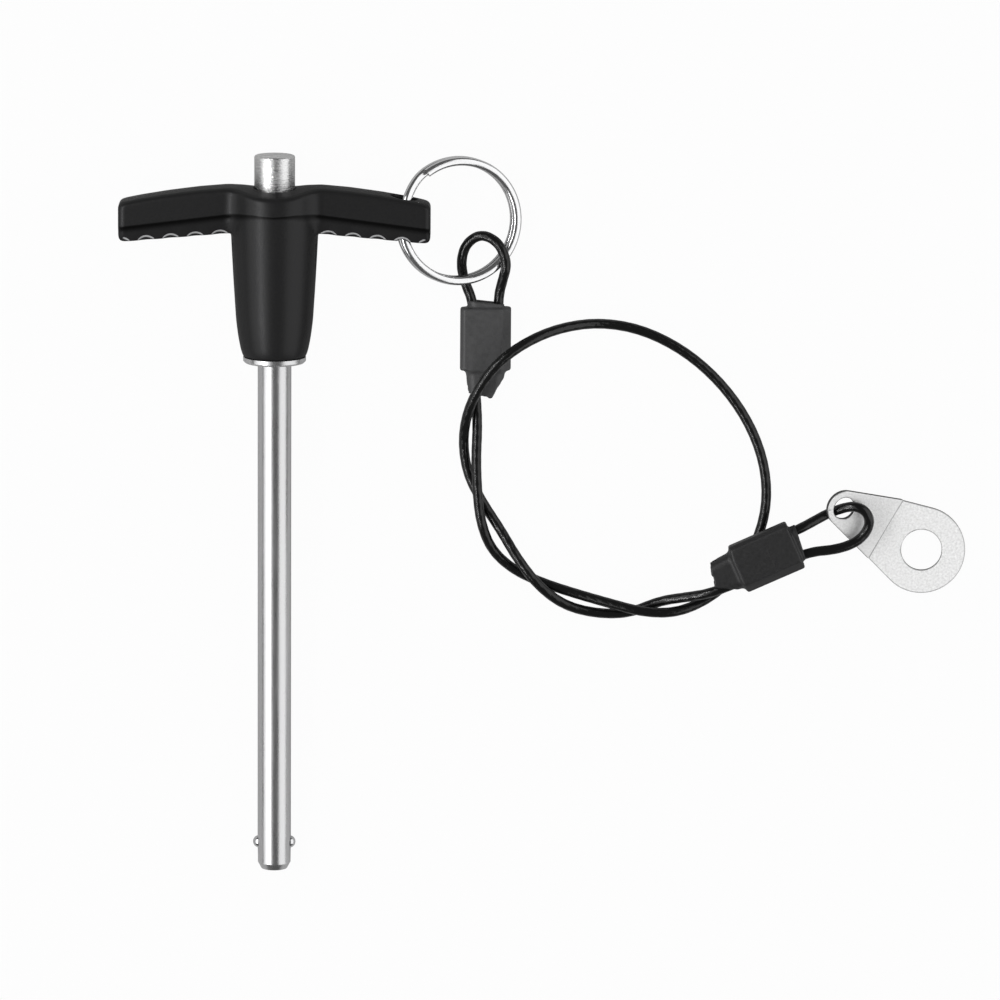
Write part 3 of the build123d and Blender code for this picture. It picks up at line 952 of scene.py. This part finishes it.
# u runs along the sleeve towards its eye, v across it and w through it.
def sleeveDistance(u, v, w):
    s = sleeveValues
    half = s["long"] / 2
    block = softMax(np.abs(v) - s["wide"] / 2, np.abs(w) - s["thick"] / 2, s["edgeRound"])
    bevel = np.where(v * w < 0, s["wideBevel"], s["slimBevel"])
    slant = (np.abs(v) + np.abs(w) - (s["wide"] + s["thick"]) / 2 + bevel) * 0.7071
    block = softMax(block, slant, s["bevelRound"])
    block = softMax(block, np.abs(u) - half, s["endRound"])
    collarEnd = u - half - s["collar"] - s["collarSlant"] * v
    collar = softMax(roundBar(v, w, *s["collarBar"]), collarEnd, 0.2)
    collar = softMax(collar, -u, 0.1)
    taper = np.clip((-u - half) / s["tail"], 0, 1)
    halfV, halfW, corner = s["tailBar"]
    tail = roundBar(v, w, halfV - s["tailNarrows"] * taper, halfW - s["tailThins"] * taper, corner)
    # The tail's end is torn in small waves and cut askew.
    torn = 0.12 * np.sin(2.6 * v + 1.0) + 0.05 * np.sin(6.3 * v + 2.0 * w)
    cut = np.maximum(-v - 1.3, 0) * 1.9 + 0.15 * (v + 3.5)
    tail = softMax(tail, (-u - half - s["tail"] + 0.1 + torn + cut) * 0.6, 0.12)
    tail = softMax(tail, u, 0.1)
    body = softMin(softMin(block, collar, 0.5), tail, 1.1)
    way = roundBar(v, w, *s["wayBar"])
    ferrule = softMax(roundBar(v, w, *s["ferruleBar"]), np.abs(u) - s["ferruleHalf"], 0.1)
    return softMax(softMax(body, -way, 0.15), -ferrule, 0.1)


def makeSleeve(name, node, place, material):
    v = sleeveValues
    points, faces = surfaceOf(sleeveDistance, v["boxLow"], v["boxHigh"], v["cell"])
    sleeve = makePiece(name, points.tolist(), faces.tolist(), material, "lanyard", place)
    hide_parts(node)
    return sleeve


ringSleeve = makeSleeve("ringSleeve", "sleeve_ring_end", ringEnd, paleShrink)
tabSleeve = makeSleeve("tabSleeve", "sleeve_tab_end", tabEnd, blackShrink)
print("sleeves")

# The nodes that stay as they are get their materials.
kept = {
    "shank": steel,
    "spindle": steel,
    "ball_left": ballSteel,
    "ball_right": ballSteel,
    "ferrule_ring_end": aluminium,
    "ferrule_tab_end": aluminium,
    "tab": tabSteel,
}
for nodeName, material in kept.items():
    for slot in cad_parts[nodeName].material_slots:
        slot.material = material

# The tab's cut edges are broken a little.
tabValues = {"joinWithin": 0.01, "bevel": 0.2, "segments": 2, "from": 40}


def softenTab(tab, v):
    joined = tab.modifiers.new("joined", "WELD")
    joined.merge_threshold = v["joinWithin"] / 1000
    softEdge = tab.modifiers.new("softEdge", "BEVEL")
    softEdge.width = v["bevel"] / 1000
    softEdge.segments = v["segments"]
    softEdge.limit_method = "ANGLE"
    softEdge.angle_limit = math.radians(v["from"])


softenTab(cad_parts["tab"], tabValues)
print("kept nodes")

# Floor, world and lamps, in metres. The camera sees white behind the part, and a trace of its shadow.
stageValues = {
    "size": 3.0,
    "floorGrey": 0.36,
    "floorShare": 0.97,  # how clear the floor is to the camera
    "floorInMetal": 0.12,  # how white it is in metal
    "world": 0.5,
    "worldInMetal": 0.11,
    "worldSeen": 1.0,
}


def mixShaders(nodes, links, share, under, over):
    mix = addNode(nodes, "ShaderNodeMixShader")
    links.new(share, mix.inputs["Fac"])
    links.new(under.outputs[0], mix.inputs[1])
    links.new(over.outputs[0], mix.inputs[2])
    return mix


# The floor's grey paper turns white in the metal and clear to the camera, each by its share.
def makeFloor(v):
    half = v["size"]
    z = floorZ / 1000
    mesh = bpy.data.meshes.new("floor")
    corners = [(-half, -half, z), (half, -half, z), (half, half, z), (-half, half, z)]
    mesh.from_pydata(corners, [], [(0, 1, 2, 3)])
    floor = bpy.data.objects.new("floor", mesh)
    scene.collection.objects.link(floor)
    material, nodes, links, paper = newMaterial("floorPaper")
    paper.inputs["Base Color"].default_value = (v["floorGrey"],) * 3 + (1,)
    paper.inputs["Roughness"].default_value = 0.9
    paper.inputs["Specular IOR Level"].default_value = 0.1
    path = addNode(nodes, "ShaderNodeLightPath")
    white = addNode(nodes, "ShaderNodeEmission", Color=(1, 1, 1, 1), Strength=1)
    clear = addNode(nodes, "ShaderNodeBsdfTransparent")
    last = paper
    for ray, share, over in (
        ("Is Glossy Ray", v["floorInMetal"], white),
        ("Is Camera Ray", v["floorShare"], clear),
    ):
        part = mathNode(nodes, links, "MULTIPLY", path.outputs[ray], share)
        last = mixShaders(nodes, links, part, last, over)
    links.new(last.outputs[0], nodes["Material Output"].inputs["Surface"])
    mesh.materials.append(material)


def makeWorld(v):
    world = bpy.data.worlds.new("world")
    world.use_nodes = True
    nodes, links = world.node_tree.nodes, world.node_tree.links
    path = addNode(nodes, "ShaderNodeLightPath")
    last = nodes["Background"]
    last.inputs["Color"].default_value = (1, 1, 1, 1)
    last.inputs["Strength"].default_value = v["world"]
    for ray, strength in (("Is Glossy Ray", v["worldInMetal"]), ("Is Camera Ray", v["worldSeen"])):
        over = addNode(nodes, "ShaderNodeBackground", Color=(1, 1, 1, 1), Strength=strength)
        last = mixShaders(nodes, links, path.outputs[ray], last, over)
    links.new(last.outputs[0], nodes["World Output"].inputs["Surface"])
    scene.world = world


# Long soft boxes along the pin, each between two angles from straight up, on the left or the right.
boxValues = {
    "leftBox": {"side": -1, "from": 17, "to": 76, "away": 0.9, "length": 1.3, "glow": 1.25},
    "rightBox": {"side": 1, "from": 34, "to": 88, "away": 0.9, "length": 1.3, "glow": 1.15},
    "strip": {"side": -1, "from": 37, "to": 39, "away": 0.86, "length": 1.2, "glow": 26.0},
}


def makeSoftBox(name, v):
    middle = math.radians((v["from"] + v["to"]) / 2)
    half = math.radians((v["to"] - v["from"]) / 2)
    wide = 2 * v["away"] * math.sin(half)
    reach = v["away"] * math.cos(half)
    data = bpy.data.lights.new(name, "AREA")
    data.shape = "RECTANGLE"
    data.size, data.size_y = wide, v["length"]
    data.energy = v["glow"] * math.pi * wide * v["length"]
    lamp = bpy.data.objects.new(name, data)
    lamp.location = (v["side"] * reach * math.sin(middle), -0.03, reach * math.cos(middle))
    lamp.rotation_euler = (0, v["side"] * middle, 0)
    scene.collection.objects.link(lamp)


makeFloor(stageValues)
makeWorld(stageValues)
for name, values in boxValues.items():
    makeSoftBox(name, values)
print("stage")
